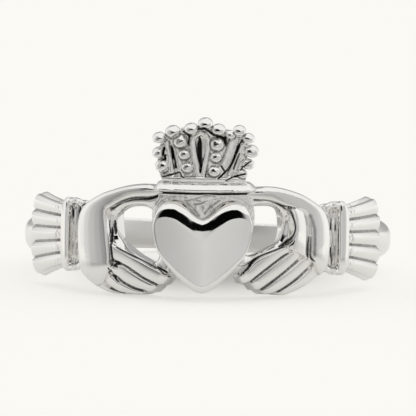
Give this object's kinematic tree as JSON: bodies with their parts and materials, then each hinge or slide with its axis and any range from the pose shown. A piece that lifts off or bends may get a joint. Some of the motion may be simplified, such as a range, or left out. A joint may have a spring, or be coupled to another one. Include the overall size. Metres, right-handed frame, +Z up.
{
  "type": "claddagh ring",
  "caption": "Polished silver claddagh ring: two hands hold a crowned heart on a slim band with fluted cuffs, lying on its side.",
  "frame": {"origin": "on the surface that the ring lies on, under the middle of its bounding box", "axes": "+Z up from the surface, -Y towards the heart, +X to the right seen from the heart's side; the finger's axis leans back from +Z by the small angle at which the ring rests"},
  "size_m": [0.0198, 0.021, 0.0097],
  "materials": {
    "silver": "polished"
  },
  "bodies": {
    "root": {"ring": "silver"}
  },
  "joints": []
}
